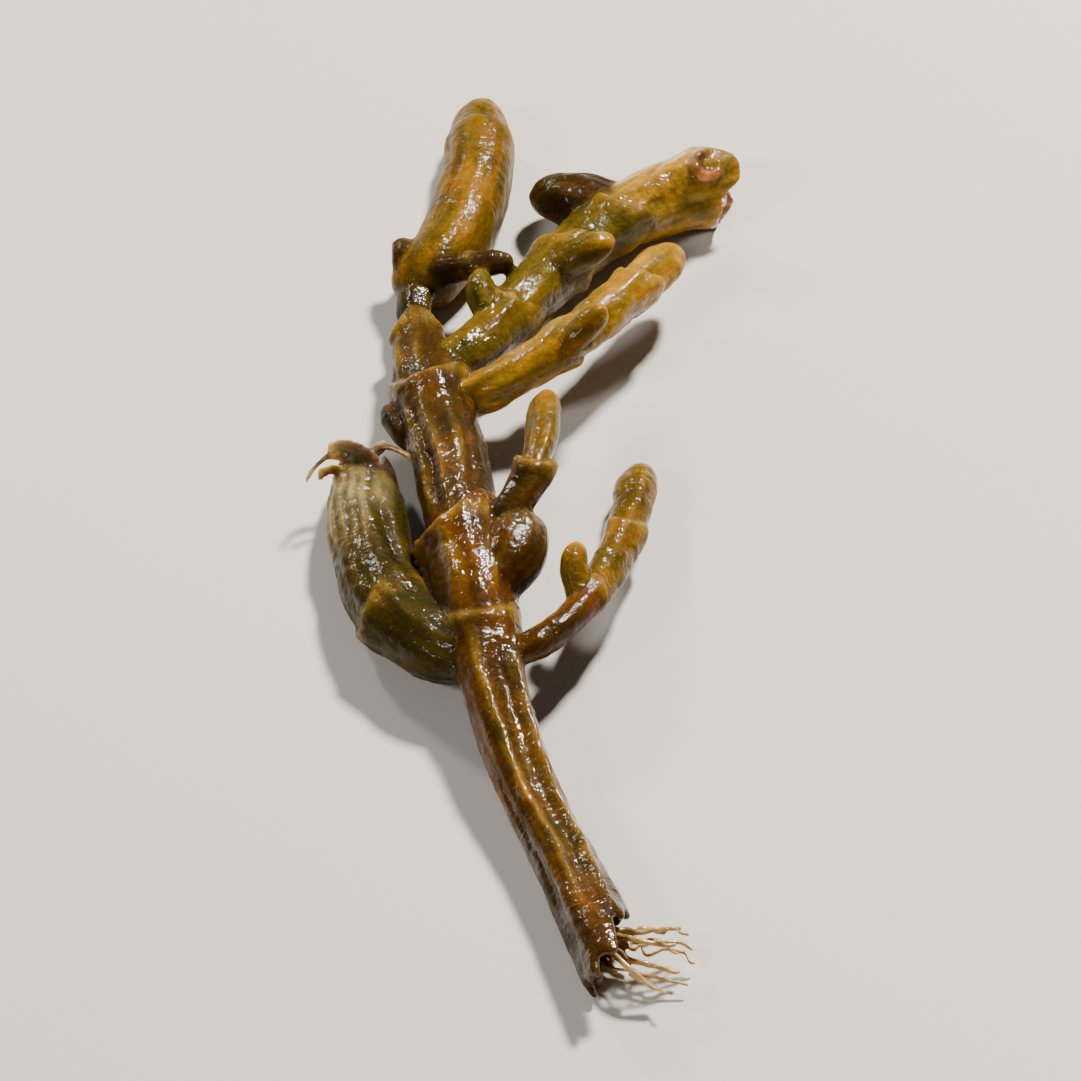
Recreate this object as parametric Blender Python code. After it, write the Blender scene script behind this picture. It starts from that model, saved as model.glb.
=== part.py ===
"""One sprig of cooked samphire lying on a table.

The sprig grew as one piece, so its flesh is one solid: a leading stem of six joints, with side
shoots leaving it in pairs at the nodes. Each joint is a fleshy club whose top flares into a
two-lobed collar, and the next joint and the side shoots rise out of that collar. The leading stem
is torn off at its lower end, and the pale fibres of its core hang out there as a second solid.

Metres, +Z up, +Y from the torn end towards the tips. The table is the plane z = 0, and the origin
is the middle of the sprig's outline on it. The lists below are in millimetres, measured from the
middle of the torn end, and ORIGIN_MM moves them to the origin.
"""

from collections import namedtuple

import bmesh
import bpy
import numpy as np
from mathutils import Vector

MM = 0.001
ORIGIN_MM = np.array([-3.738, 32.676, 0.0])
RANDOM_SEED = 7

FLATNESS = 0.92          # height of a joint's section over its width, as soft flesh settles
SWELL = 0.05             # how far a joint bulges at mid-length, over its top radius
WAIST = 0.16             # how far the leading stem's lowest joint narrows there instead
WAVER_TWO = 0.045        # how far a section departs from the ellipse, twice round
WAVER_THREE = 0.03       # and three times round, both over the radius
COLLAR_FLARE = 1.13      # radius of a collar's lip over the radius of the joint below it
COLLAR_WALL_MM = 0.62    # thickness of a collar's lip
LIP_ROUND = 0.12         # how far the lip's edge is rounded, over its thickness
LOBE_RISE = 0.85         # how far a collar's two lobes stand up, over the joint's top radius
LOBE_SHARPNESS = 1.5     # 1 gives lobes as wide as the notches between them, more narrows them
TEAR_SLOPE_MM = 2.7      # half the slant of the torn lower end
TEAR_TURN = 0.25         # angle in radians from sideways to the tear's shortest side
TEAR_NOTCH_MM = 0.35     # depth of the notches along the tear
TEAR_NOTCHES = 5
CAVITY_MM = 5.6          # how far the leading stem is open behind the middle of the tear
FOLD_DEPTH_MM = 0.55     # groove along the top of the leading stem's lowest joint
FOLD_WIDTH = 0.3         # its half width, an angle in radians
FOLD_WANDER = 0.35       # how far it wanders to either side, an angle in radians
FOLD_BEND_MM = 5.0       # the length over which it wanders
FOLD_FADE_MM = 3.0       # the length over which it fades out at both ends
ROW_SPACING_MM = 2.0     # greatest distance between the rings of a joint's body
TRACK_STEPS = 24         # samples of the smooth line between two points of a route
TRACK_OVERRUN_MM = 8.0   # straight stretch added past both ends of a route

# Profiles of a joint's ends, as (distance along it, radius). The foot's are over its base radius,
# counted from its start. The tip's distances are back from its end, over the length of the
# rounding, and its radii over the top radius.
FOOT_PROFILE = [(-0.95, 0.0), (-0.8, 0.62), (-0.3, 0.94)]
TIP_PROFILE = [(0.85, 0.93), (0.45, 0.8), (0.15, 0.52), (0.0, 0.0)]
TIP_ROUNDING = 1.6       # length of the rounding at a tip over the top radius
TIP_SHARE = 0.55         # and at most this share of the joint
# Places down from a collar's lip, over the top radius: where the flare starts, where it is full,
# where the cup inside narrows, and the cup's floor.
FLARE_START, FLARE_FULL, CUP_NARROWS, CUP_FLOOR = 0.55, 0.15, 0.35, 0.5

# A shoot is a smooth line through its route's points. ends gives where each joint ends, as a share
# of the line's length, radii the joint's base and top radius, and turns the angle of its collar's
# lobes round the shoot, 0 being sideways. tip is round, or open where the last joint ends in a
# bare collar. A side shoot's first point lies inside the stem that it grows from.
Shoot = namedtuple("Shoot", "name route ends radii turns sides tip")

SHOOTS = [
    Shoot(
        "leader",
        [(0.1, -0.5, 1.8), (-1.9, 5.5, 1.8), (-4.0, 11.5, 1.95), (-5.7, 17.0, 2.6),
         (-6.7, 22.4, 3.3), (-7.6, 28.9, 3.6), (-8.5, 36.0, 3.2), (-9.7, 44.3, 2.6),
         (-10.8, 50.3, 2.0), (-10.6, 53.6, 1.95), (-8.9, 56.7, 2.05), (-7.6, 61.0, 1.95),
         (-7.1, 65.2, 1.9), (-7.0, 69.3, 1.8)],
        [0.35, 0.45, 0.635, 0.715, 0.79, 1.0],
        [(2.2, 2.15), (2.15, 2.6), (1.85, 2.2), (2.2, 1.45), (0.95, 1.25), (2.2, 2.05)],
        [5, 50, 20, 90, 0, 0],
        18,
        "round",
    ),
    Shoot(
        "right_low",
        [(-6.6, 21.3, 3.5), (-3.6, 22.3, 3.9), (-1.05, 25.8, 3.7), (0.9, 31.2, 2.7),
         (2.2, 39.4, 1.2)],
        [0.38, 0.68, 1.0],
        [(0.85, 1.05), (1.0, 1.2), (1.05, 1.2)],
        [90, 0, 0],
        11,
        "round",
    ),
    Shoot(
        "left_low",
        [(-7.0, 21.6, 3.1), (-9.9, 23.4, 2.8), (-12.25, 27.4, 2.3), (-13.1, 32.0, 2.1),
         (-13.5, 37.7, 1.95)],
        [0.36, 1.0],
        [(1.6, 2.3), (2.5, 1.95)],
        [70, 0],
        13,
        "round",
    ),
    Shoot(
        "right_bud",
        [(-7.2, 25.9, 3.8), (-5.2, 28.6, 4.5), (-4.4, 31.9, 4.7)],
        [1.0],
        [(1.45, 1.85)],
        [0],
        11,
        "round",
    ),
    Shoot(
        "right_middle",
        [(-7.3, 29.6, 4.2), (-4.7, 32.6, 5.7), (-3.6, 36.4, 5.9), (-3.3, 41.3, 5.2)],
        [0.45, 1.0],
        [(0.95, 1.15), (0.85, 1.0)],
        [0, 0],
        10,
        "round",
    ),
    Shoot(
        "left_far_bud",
        [(-9.0, 39.2, 2.9), (-11.2, 40.3, 2.7), (-12.3, 43.4, 2.4)],
        [1.0],
        [(0.8, 0.95)],
        [0],
        10,
        "round",
    ),
    Shoot(
        "right_near",
        [(-9.6, 43.2, 2.3), (-5.8, 44.0, 3.5), (-2.3, 46.1, 4.6), (1.05, 50.2, 4.4),
         (4.4, 55.5, 3.2)],
        [0.42, 0.74, 1.0],
        [(1.2, 1.5), (1.3, 1.45), (1.2, 1.25)],
        [90, 20, 0],
        12,
        "round",
    ),
    Shoot(
        "right_far",
        [(-9.9, 45.4, 2.7), (-7.0, 47.9, 2.8), (-4.7, 51.6, 2.6), (-2.3, 55.5, 2.2),
         (0.3, 58.8, 2.1), (3.2, 61.0, 2.05), (5.9, 62.1, 2.05)],
        [0.30, 0.55, 0.74, 1.0],
        [(1.35, 1.65), (1.5, 1.85), (1.7, 1.95), (1.85, 2.2)],
        [0, 60, 20, 70],
        14,
        "open",
    ),
    Shoot(
        "far_bud_right",
        [(-2.9, 54.3, 2.8), (-1.2, 54.4, 3.9), (0.7, 55.0, 4.7)],
        [1.0],
        [(0.95, 1.25)],
        [0],
        10,
        "round",
    ),
    Shoot(
        "far_bud_left",
        [(-5.7, 48.8, 2.8), (-6.9, 50.8, 3.6), (-7.0, 52.9, 4.0)],
        [1.0],
        [(0.75, 0.95)],
        [0],
        10,
        "round",
    ),
    Shoot(
        "far_side",
        [(1.6, 59.6, 2.2), (-0.2, 60.4, 2.15), (-2.2, 61.1, 2.05), (-4.3, 61.4, 1.95)],
        [1.0],
        [(1.6, 2.0)],
        [0],
        11,
        "round",
    ),
    Shoot(
        "dark_right",
        [(-10.7, 54.0, 2.2), (-8.3, 53.7, 3.4), (-6.0, 53.8, 4.0)],
        [0.6, 1.0],
        [(0.75, 0.95), (0.7, 0.8)],
        [0, 0],
        10,
        "round",
    ),
    Shoot(
        "dark_left",
        [(-10.9, 53.8, 2.0), (-11.4, 55.2, 2.6), (-11.6, 56.7, 3.1)],
        [1.0],
        [(0.75, 0.95)],
        [0],
        10,
        "round",
    ),
    Shoot(
        "near_bud",
        [(-2.4, 45.2, 4.9), (-1.1, 45.8, 6.1), (0.1, 47.0, 6.8)],
        [1.0],
        [(0.7, 0.85)],
        [0],
        9,
        "round",
    ),
    Shoot(
        "low_bud",
        [(-1.2, 25.3, 3.6), (-1.7, 27.4, 4.8), (-1.4, 29.1, 5.2)],
        [1.0],
        [(0.65, 0.8)],
        [0],
        9,
        "round",
    ),
]

# The core shows as a short stub in the torn end and fibres that fan out of it to the right.
CORE_ROUTE_MM = [(-1.2, 3.4, 1.85), (-0.8, 2.2, 1.85), (-0.4, 1.2, 1.85)]
CORE_RADII_MM = (0.7, 0.56)
CORE_SIDES = 10
FIBRE_ROUTES_MM = [
    [(-0.75, 2.0, 1.95), (0.55, 0.95, 2.1), (2.4, 0.9, 2.3), (4.5, 1.4, 1.8)],
    [(-0.7, 1.9, 1.85), (0.7, 0.45, 1.9), (2.7, 0.1, 1.8), (5.0, 0.3, 1.2)],
    [(-0.65, 1.8, 1.75), (0.5, 0.0, 1.65), (2.2, -1.0, 1.5), (4.3, -1.4, 0.9)],
    [(-0.65, 1.8, 1.9), (0.2, -0.4, 2.0), (1.3, -1.9, 2.0), (2.9, -2.9, 1.4)],
    [(-0.65, 1.8, 2.0), (0.5, 0.3, 2.2), (2.0, -0.5, 2.7), (3.9, -0.6, 2.3)],
]
FIBRE_RADII_MM = (0.42, 0.3)
FIBRE_SIDES = 7
BLUNT_END_MM = 0.1       # how far a fibre's end stands out of its last full ring

CREASE_ANGLE = np.radians(50)
# Colour and roughness of each material.
COLOURS = {
    "flesh": ((0.165, 0.095, 0.014, 1.0), 0.28),
    "core": ((0.62, 0.50, 0.27, 1.0), 0.45),
}


def clear_scene():
    for thing in list(bpy.data.objects):
        bpy.data.objects.remove(thing, do_unlink=True)


def material(name):
    """A Principled material with the part's colour and roughness."""
    colour, roughness = COLOURS[name]
    made = bpy.data.materials.new(name)
    made.use_nodes = True
    shader = made.node_tree.nodes["Principled BSDF"]
    shader.inputs["Base Color"].default_value = colour
    shader.inputs["Roughness"].default_value = roughness
    shader.inputs["Metallic"].default_value = 0.0
    return made


class Track:
    """The smooth line through a route: a Catmull-Rom curve, with a straight run at both ends.

    Places on it are given by their distance along the line in millimetres, 0 at the first point.
    """

    def __init__(self, route):
        points = np.array(route, float) - ORIGIN_MM
        points = np.vstack([2 * points[0] - points[1], points, 2 * points[-1] - points[-2]])
        before, here, there, after = points[:-3], points[1:-2], points[2:-1], points[3:]
        share = np.linspace(0, 1, TRACK_STEPS, endpoint=False)[None, :, None]
        slope_in = (there - before)[:, None] / 2
        slope_out = (after - here)[:, None] / 2
        bend = 2 * share**3 - 3 * share**2
        line = (
            (bend + 1) * here[:, None]
            + (share**3 - 2 * share**2 + share) * slope_in
            - bend * there[:, None]
            + (share**3 - share**2) * slope_out
        ).reshape(-1, 3)
        line = np.vstack([line, points[-2]])
        ahead = line[-1] - line[-2]
        behind = line[0] - line[1]
        line = np.vstack([
            line[0] + behind / np.linalg.norm(behind) * TRACK_OVERRUN_MM,
            line,
            line[-1] + ahead / np.linalg.norm(ahead) * TRACK_OVERRUN_MM,
        ])
        steps = np.linalg.norm(np.diff(line, axis=0), axis=1)
        self.distance = np.concatenate([[0.0], np.cumsum(steps)]) - TRACK_OVERRUN_MM
        self.length = self.distance[-1] - TRACK_OVERRUN_MM
        self.line = line
        ahead = np.gradient(line, self.distance, axis=0)
        ahead /= np.linalg.norm(ahead, axis=1)[:, None]
        side = np.cross(ahead, [0.0, 0.0, 1.0])
        side /= np.linalg.norm(side, axis=1)[:, None]
        self.side = side
        self.up = np.cross(side, ahead)

    def at(self, distance, values):
        """values, given for each sample of the line, read at an array of distances."""
        return np.stack([np.interp(distance, self.distance, v) for v in values.T], axis=-1)

    def skin(self, distance, angle, radius):
        """Points at a distance along the line, an angle round it and a radius from it.

        The section is an ellipse: FLATNESS times as high as it is wide.
        """
        across = np.cos(angle)[..., None] * self.at(distance, self.side)
        upward = FLATNESS * np.sin(angle)[..., None] * self.at(distance, self.up)
        return self.at(distance, self.line) + radius[..., None] * (across + upward)


def closed_mesh(name, rings):
    """A closed mesh over rings of points. The first and last rings shrink to single points."""
    count, sides = rings.shape[:2]
    inner = rings[1:-1].reshape(-1, 3)
    points = np.vstack([rings[0].mean(axis=0), inner, rings[-1].mean(axis=0)]) * MM
    last = len(points) - 1
    faces = []
    for side in range(sides):
        beside = (side + 1) % sides
        faces.append((0, 1 + beside, 1 + side))
        top = 1 + (count - 3) * sides
        faces.append((last, top + side, top + beside))
    for ring in range(count - 3):
        low = 1 + ring * sides
        high = low + sides
        for side in range(sides):
            beside = (side + 1) % sides
            faces.append((low + side, low + beside, high + beside, high + side))
    mesh = bpy.data.meshes.new(name)
    mesh.from_pydata(points.tolist(), [], faces)
    body = bmesh.new()
    body.from_mesh(mesh)
    bmesh.ops.recalc_face_normals(body, faces=body.faces)
    body.to_mesh(mesh)
    body.free()
    return mesh


def foot_rows(start, base, torn):
    """Rings at a joint's foot, as (distance, radius, collar share, tear share).

    A torn foot starts deep inside, comes out along the cavity's wall and turns over the tear.
    """
    if torn:
        bore = base - COLLAR_WALL_MM
        return [
            (start + CAVITY_MM, 0.0, 0, 0),
            (start + CAVITY_MM, 0.75 * bore, 0, 0),
            (start + 0.75 * CAVITY_MM, bore, 0, 0.3),
            (start + 0.1, bore, 0, 1),
            (start, base, 0, 1),
        ]
    return [(start + along * base, out * base, 0, 0) for along, out in FOOT_PROFILE]


def rounding(length, top):
    """Length of the rounding at a joint's tip."""
    return min(TIP_ROUNDING * top, TIP_SHARE * length)


def top_rows(end, length, top, closed):
    """Rings at a joint's top: a blunt round tip, or a collar that turns over into a shallow cup."""
    if closed:
        back = rounding(length, top)
        return [(end - share * back, out * top, 0, 0) for share, out in TIP_PROFILE]
    lip = COLLAR_FLARE * top
    bore = lip - COLLAR_WALL_MM
    edge = LIP_ROUND * COLLAR_WALL_MM
    return [
        (end - FLARE_START * top, 1.03 * top, 0.0, 0),
        (end - FLARE_FULL * top, lip, 0.6, 0),
        (end, lip - edge, 1, 0),
        (end, bore + edge, 1, 0),
        (end - CUP_NARROWS * top, 0.85 * bore, 0.3, 0),
        (end - CUP_FLOOR * top, 0.0, 0, 0),
    ]


def body_rows(start, end, base, top, closed, torn):
    """Rings along a joint: it swells a little from its foot to its shoulder, or has a waist."""
    length = end - start
    bulge = -WAIST if torn else SWELL
    last = end - (rounding(length, top) if closed else FLARE_START * top)
    count = int(np.clip(length / ROW_SPACING_MM, 2, 12))
    first = start + (0.55 * CAVITY_MM if torn else 0.3 * base)
    places = np.linspace(first, last, count, endpoint=closed)
    share = np.clip((places - start) / length, 0, 1)
    radius = base + (top - base) * share + bulge * top * np.sin(np.pi * share)
    slant = 0.9 * np.clip(1 - (places - start) / (1.6 * CAVITY_MM), 0, 1)
    return list(zip(places, radius, 0 * places, slant if torn else 0 * places))


def fold_depth(place, angle, start, end):
    """Depth of the groove that wanders along the top of the leading stem's lowest joint."""
    centre = np.pi / 2 + FOLD_WANDER * np.sin((place - start) / FOLD_BEND_MM)
    within = np.clip((place - start - CAVITY_MM) / FOLD_FADE_MM, 0, 1)
    within *= np.clip((end - 2.0 - place) / FOLD_FADE_MM, 0, 1)
    return FOLD_DEPTH_MM * within * np.exp(-(((angle - centre) / FOLD_WIDTH) ** 2))


def joint_rings(track, start, end, base, top, turn, sides, closed, torn, phases):
    """One joint as rings of points round its track.

    The section wavers with twice and three times the angle. The collar stands up in two lobes at
    turn and opposite it. The torn foot slants, furthest out on the left, with small notches.
    """
    rows = foot_rows(start, base, torn)
    rows += body_rows(start, end, base, top, closed, torn)
    rows += top_rows(end, end - start, top, closed)
    place, radius, collar, tear = (np.array(v, float)[:, None] for v in zip(*rows))
    angle = np.linspace(0, 2 * np.pi, sides, endpoint=False)[None, :]
    lobe = (0.5 + 0.5 * np.cos(2 * (angle - np.radians(turn)))) ** LOBE_SHARPNESS
    slant = TEAR_SLOPE_MM * np.cos(angle + TEAR_TURN)
    slant = slant + TEAR_NOTCH_MM * np.sin(TEAR_NOTCHES * angle + phases[0])
    place = place + collar * LOBE_RISE * top * lobe + tear * slant
    waver = 1 + WAVER_TWO * np.cos(2 * angle + phases[0])
    waver = waver + WAVER_THREE * np.cos(3 * angle + phases[1])
    radius = radius * waver
    if torn:
        fold = fold_depth(place, angle, start, end)
        radius = np.where(radius > fold, radius - fold, radius)
    return track.skin(place, angle + 0 * place, radius)


def shoot_joints(shoot, phases):
    """The joints of one shoot, each a closed mesh with its foot sunk in the collar below it."""
    track = Track(shoot.route)
    starts = [0.0] + list(shoot.ends[:-1])
    meshes = []
    for number, (start, end) in enumerate(zip(starts, shoot.ends)):
        last = number == len(shoot.ends) - 1
        rings = joint_rings(
            track,
            start * track.length,
            end * track.length,
            *shoot.radii[number],
            shoot.turns[number],
            shoot.sides,
            closed=last and shoot.tip == "round",
            torn=number == 0 and shoot.name == "leader",
            phases=next(phases),
        )
        meshes.append(closed_mesh(f"{shoot.name}_{number + 1}", rings))
    return meshes


def fibre_mesh(name, route, radii, sides):
    """A closed tapering thread along a route, blunt at both ends."""
    track = Track(route)
    share = np.array([0.0, 0.0, 0.2, 0.4, 0.6, 0.8, 1.0, 1.0])
    radius = radii[0] + (radii[1] - radii[0]) * share
    radius[[0, -1]] = 0.0
    place = share * track.length
    place[[0, -1]] += [-BLUNT_END_MM, BLUNT_END_MM]
    angle = np.linspace(0, 2 * np.pi, sides, endpoint=False)[None, :]
    rings = track.skin(place[:, None] + 0 * angle, angle + 0 * place[:, None],
                       radius[:, None] + 0 * angle)
    return closed_mesh(name, rings)


def joined(name, meshes):
    """One object from closed meshes that overlap, by a Boolean union; only the outer skin stays."""
    whole = bpy.data.objects.new(name, meshes[0])
    bpy.context.scene.collection.objects.link(whole)
    rest = bpy.data.collections.new(name + "_pieces")
    bpy.context.scene.collection.children.link(rest)
    for mesh in meshes[1:]:
        rest.objects.link(bpy.data.objects.new(mesh.name, mesh))
    union = whole.modifiers.new("union", "BOOLEAN")
    union.operation = "UNION"
    union.operand_type = "COLLECTION"
    union.collection = rest
    union.solver = "EXACT"
    bpy.context.view_layer.update()
    seen = whole.evaluated_get(bpy.context.evaluated_depsgraph_get())
    united = bpy.data.meshes.new_from_object(seen)
    whole.modifiers.clear()
    whole.data = united
    for piece in list(rest.objects):
        bpy.data.objects.remove(piece, do_unlink=True)
    bpy.data.collections.remove(rest)
    keep_largest_skin(united)
    return whole


def keep_largest_skin(mesh):
    """Drops loose scraps and the walls of hollows that the union has sealed."""
    body = bmesh.new()
    body.from_mesh(mesh)
    groups, waiting = [], set(body.verts)
    while waiting:
        group, edge_of_group = set(), [waiting.pop()]
        while edge_of_group:
            point = edge_of_group.pop()
            group.add(point)
            for edge in point.link_edges:
                other = edge.other_vert(point)
                if other in waiting:
                    waiting.remove(other)
                    edge_of_group.append(other)
        groups.append(group)
    largest = max(groups, key=len)
    loose = [point for group in groups if group is not largest for point in group]
    bmesh.ops.delete(body, geom=loose, context="VERTS")
    body.to_mesh(mesh)
    body.free()


def settle_on_table(thing):
    """Cuts off what would sink into the table, which leaves a small flat at each resting place."""
    body = bmesh.new()
    body.from_mesh(thing.data)
    bmesh.ops.bisect_plane(
        body,
        geom=body.verts[:] + body.edges[:] + body.faces[:],
        dist=1e-6,
        plane_co=Vector((0, 0, 0)),
        plane_no=Vector((0, 0, -1)),
        clear_outer=True,
    )
    rim = [edge for edge in body.edges if edge.is_boundary]
    bmesh.ops.holes_fill(body, edges=rim, sides=0)
    bmesh.ops.recalc_face_normals(body, faces=body.faces)
    bmesh.ops.triangulate(body, faces=body.faces)
    body.to_mesh(thing.data)
    body.free()


def finish(thing, name):
    """Smooth shading with creases kept, and the material."""
    thing.data.shade_smooth()
    thing.data.set_sharp_from_angle(angle=CREASE_ANGLE)
    thing.data.materials.clear()
    thing.data.materials.append(material(name))


def make_flesh():
    draws = np.random.default_rng(RANDOM_SEED)
    count = sum(len(shoot.ends) for shoot in SHOOTS)
    phases = iter(draws.uniform(0, 2 * np.pi, (count, 2)))
    meshes = [mesh for shoot in SHOOTS for mesh in shoot_joints(shoot, phases)]
    flesh = joined("sprig", meshes)
    settle_on_table(flesh)
    finish(flesh, "flesh")


def make_core():
    meshes = [fibre_mesh("stub", CORE_ROUTE_MM, CORE_RADII_MM, CORE_SIDES)]
    for number, route in enumerate(FIBRE_ROUTES_MM):
        meshes.append(fibre_mesh(f"fibre_{number + 1}", route, FIBRE_RADII_MM, FIBRE_SIDES))
    finish(joined("core_fibres", meshes), "core")


def main():
    clear_scene()
    make_flesh()
    make_core()


main()
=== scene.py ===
"""A sprig of cooked samphire as it looks: soft oily flesh, wrinkled along and across, pale tips.

The flesh repeats the CAD's shoots joint by joint, each as a finely gridded surface round its
shoot's line, and fuses them into one skin. The pale fibres of the core hang out of the torn end.

Lengths are in millimetres until closed_grids writes a piece's mesh, which is in metres.
"""

import math
from collections import namedtuple

import bpy
import numpy as np
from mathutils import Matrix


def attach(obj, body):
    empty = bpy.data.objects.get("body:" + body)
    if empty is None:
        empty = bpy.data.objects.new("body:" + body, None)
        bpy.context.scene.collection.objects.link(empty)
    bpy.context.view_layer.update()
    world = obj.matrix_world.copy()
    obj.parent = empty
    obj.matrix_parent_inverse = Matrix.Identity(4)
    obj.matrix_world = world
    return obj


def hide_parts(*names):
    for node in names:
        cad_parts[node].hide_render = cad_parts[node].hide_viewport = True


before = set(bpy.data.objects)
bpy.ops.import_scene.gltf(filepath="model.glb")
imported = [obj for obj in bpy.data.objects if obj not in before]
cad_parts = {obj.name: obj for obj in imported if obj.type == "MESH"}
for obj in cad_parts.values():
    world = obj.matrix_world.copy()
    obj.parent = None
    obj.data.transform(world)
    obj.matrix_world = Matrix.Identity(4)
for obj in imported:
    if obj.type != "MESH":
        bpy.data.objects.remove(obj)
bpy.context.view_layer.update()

MM = 0.001

# Routes count from the torn end, along the table and up from it. The frame counts from the middle
# of the sprig's outline, which is this place on a route.
ORIGIN = np.array([-3.738, 32.676, 0.0])

GRID = 0.15  # spacing of the grid that a joint's surface is worked out on
VOXEL, FIBRE_VOXEL = 0.171, 0.07  # cell sizes when surfaces are fused into one skin
REST_HEIGHT = 0.01  # the flesh stays this far above the table

# Joints. A share is of the joint's radius at that end, unless the name says otherwise.
FLATNESS = 0.92  # height of a shoot over its width
SWELL, WAIST = 0.05, 0.16  # how far a joint's middle bulges, and how far the torn one's narrows
WALL_ROWS = 8
FOOT_PROFILE = [(-0.95, 0.0), (-0.8, 0.62), (-0.3, 0.94)]
FOOT_TOP = 0.3
TIP_PROFILE = [(0.85, 0.95), (0.5, 0.86), (0.22, 0.65), (0.05, 0.33), (0.0, 0.0)]
TIP_ROUNDING, TIP_LENGTH_SHARE = 1.6, 0.55
OVAL, THREE_SIDED = 0.045, 0.03  # how far a joint's cross section departs from round
FEWEST_COLUMNS = 28
COLUMN_SPARE = 1.1  # columns round a joint, over what GRID asks of it without its collar

# Collars: a flare, a lip with two lobes, and a hollow cup.
COLLAR_FLARE = 1.13
COLLAR_WALL = 0.62
FLARE_START, FLARE_FULL, CUP_NARROWS, CUP_FLOOR = 0.55, 0.15, 0.35, 0.5
LIP_EDGE, LIP_TOP = 0.05, 0.06
LOBE_RISE, RING_RISE = 0.85, 0.12
LOBE_SHARPNESS = 1.6

# The torn end: a slanting, notched rim round a cavity. The outer wall slants with it for a while.
CAVITY = 5.6
CAVITY_CORNER = 0.75
TEAR_EDGE = 0.1
TEAR_SLOPE, TEAR_TURN = 2.7, 0.25
TEAR_NOTCH, TEAR_NOTCHES = 0.35, 5
TORN_WALL_START = 0.55
SLANT_SHARE, SLANT_REACH = 0.9, 1.6

# A split tip's wall, over the rim and down inside: distance from the end, radius over the top
# radius, what is added to that radius, share of the rim's jagged rise, and skin share.
SPLIT_PROFILE = [
    (-1.6, 1.0, 0.0, 0.0, 1), (-0.6, 0.9, 0.0, 0.5, 1), (0.1, 0.66, 0.0, 1.0, 0.5),
    (0.15, 0.60, -0.25, 1.0, 0), (-0.7, 0.70, -0.3, 0.5, 0), (-2.4, 0.7, -0.4, 0.0, 0),
    (-2.8, 0.0, 0.0, 0.0, 0),
]

# How ragged each kind of rim is, by noise read round a circle with a radius of RAG_CIRCLE steps.
RAG_CIRCLE = 3
SPLIT_RAGS, LIP_RAGS, TEAR_RAGS = 0.55, 0.10, 0.9

# Noises of the skin: lattice steps a millimetre across the shoot and along it, and the height. In
# place of a height, PATCHES has a contrast and WANDER how far it moves the others on each axis.
Noise = namedtuple("Noise", "across along height")
LUMPS = Noise(0.36, 0.30, 0.15)
FOLDS = Noise(0.75, 0.11, 0.20)
PLEATS = Noise(1.7, 0.22, 0.08)
WRINKLES = Noise(0.9, 2.3, 0.07)
PATCHES = Noise(0.4, 0.25, 1.3)
WANDER = Noise(0.6, 0.5, [0.45, 0.45, 0.7])
WANDER_SEED = 50
PATTERN_APART = 40.0  # a joint's pattern is read this far along from the one before

# How far the skin may sink: a share of the radius, but on the torn joint a depth, of which the
# thin wall over the cavity keeps a part.
SINK_SHARE = 0.35
TORN_SINK, CAVITY_KEEPS = 0.6, 0.38

# Long lines sway by these waves: size as an angle, turn a millimetre and phase.
SWAY = [(0.05, 0.6, 0.0), (0.02, 2.1, 1.0)]
LINE_FADE, LINE_FADE_SHARE = 3.5, 0.4

# Flesh colours in daylight; the lighter gold after GOLD is partly its own tone and partly painted
# light.
GOLD = (0.122, 0.062, 0.0014)
GOLD_AND_PAINTED_LIGHT = (0.235, 0.125, 0.0060)
HONEY = (0.285, 0.160, 0.0150)
AMBER = (0.047, 0.0190, 0.0003)
RUST = (0.067, 0.0245, 0.0003)
BROWN = (0.026, 0.012, 0.0022)
OLIVE = (0.088, 0.056, 0.0020)
MOSS = (0.031, 0.0200, 0.0010)
STRAW = (0.30, 0.18, 0.020)
CREAM = (0.38, 0.30, 0.14)
MAUVE = (0.042, 0.018, 0.010)
# Dark red inside open cups: reddish flesh with painted shade.
BLUSH_AND_PAINTED_SHADE = (0.10, 0.028, 0.010)
PINK = (0.32, 0.165, 0.070)

# Where a joint departs from its own colour: angles, shares of the way to another colour, and
# how far from the joint's start or end that goes on. At a round tip that is in radii.
GREEN_SIDE, GREEN_SPREAD, GREEN_SHARE = math.radians(168), 0.55, 0.85
GREEN_END, GREEN_FADE = 15, 4
TEAR_STAIN, TEAR_STAIN_REACH = 0.5, 4.0
TIP_PALE, DARK_TIP_PALE, TIP_PALE_REACH, TIP_PALE_CURVE = 0.5, 0.1, 1.5, 1.3
LIP_PALE, LIP_PALE_CENTRE, LIP_PALE_REACH = 0.5, 0.2, 0.9
RING_PINK, RING_PINK_FADE = 1.3, 1.5
# The inside of an open collar's cup and of the ring: reddish flesh darkened by painted shade of the
# hollow.
CUP_BLUSH_AND_SHADE, CUP_BLUSH_AND_SHADE_REACH = 2.2, 0.8
SPLIT_STAIN, SPLIT_STAIN_REACH = 0.9, 2.2

# Smoothing of the fused skin, in and out by turns so that it keeps its size, and of its colours.
SMOOTHING = (0.55, -0.57, 0.55, -0.57, 0.5)
TINT_PASSES, AROUND_PASSES, HOLLOW_PASSES = 2, 6, 2
# Painted shade and painted light: how strongly hollowness counts, the share by which hollows are
# darkened as painted shade, and the share by which ridges are lightened as painted light.
HOLLOW_GAIN, PAINTED_HOLLOW_SHADE, PAINTED_RIDGE_LIGHT = 9, 0.6, 0.45

# The shoots repeat the CAD's, but for far_ring, which is the scene's own, and a longer dark_right.
# A route is points on the shoot's line, ends are the shares of that line at which its joints end,
# radii are each joint's radius at its base and top, and turns are how far its collar is turned
# about the line, in degrees. A slack joint is wrinkled and collapsed at 1 and plump at 0. oil is
# the joint's share of oil, with 1 as usual.
Shoot = namedtuple("Shoot", "name route ends radii turns tip colours slack oil")

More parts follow.
